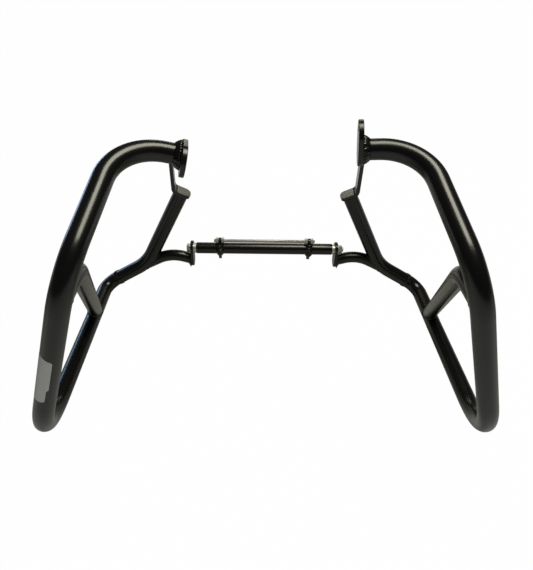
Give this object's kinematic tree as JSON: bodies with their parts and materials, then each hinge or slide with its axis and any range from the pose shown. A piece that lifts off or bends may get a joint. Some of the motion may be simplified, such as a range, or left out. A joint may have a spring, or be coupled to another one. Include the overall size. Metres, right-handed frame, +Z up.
{
  "type": "motorcycle crash bars",
  "caption": "Pair of bent-tube motorcycle crash bars with braces, mounting plates and a bolted cross tube at the back, in black coat with zinc hardware.",
  "frame": {"origin": "on the floor under the middle of the set", "axes": "X across the motorcycle, -Y to the front, +Z up"},
  "size_m": [0.613, 0.3951, 0.3888],
  "materials": {
    "black_coat": "satin black powder coat",
    "zinc": "bright zinc plate"
  },
  "bodies": {
    "root": {"left_main_tube": "black_coat", "left_rear_tube": "black_coat", "left_branch_tube": "black_coat", "left_brace_tube": "black_coat", "left_upper_plate": "black_coat", "left_rear_strap": "black_coat", "left_lower_bracket": "black_coat", "left_upper_weld": "black_coat", "left_joint_weld": "black_coat", "left_bracket_weld": "black_coat", "left_bolt_washer": "zinc", "left_cross_spacer": "zinc", "left_clamp_plate": "black_coat", "right_main_tube": "black_coat", "right_rear_tube": "black_coat", "right_branch_tube": "black_coat", "right_brace_tube": "black_coat", "right_upper_plate": "black_coat", "right_rear_strap": "black_coat", "right_lower_bracket": "black_coat", "right_upper_weld": "black_coat", "right_joint_weld": "black_coat", "right_bracket_weld": "black_coat", "right_bolt_washer": "zinc", "right_cross_spacer": "zinc", "right_clamp_plate": "black_coat", "cross_tube": "black_coat", "cross_bolt": "zinc", "cross_nut": "zinc", "tie_rod": "zinc", "tie_rod_nuts": "zinc"}
  },
  "joints": []
}
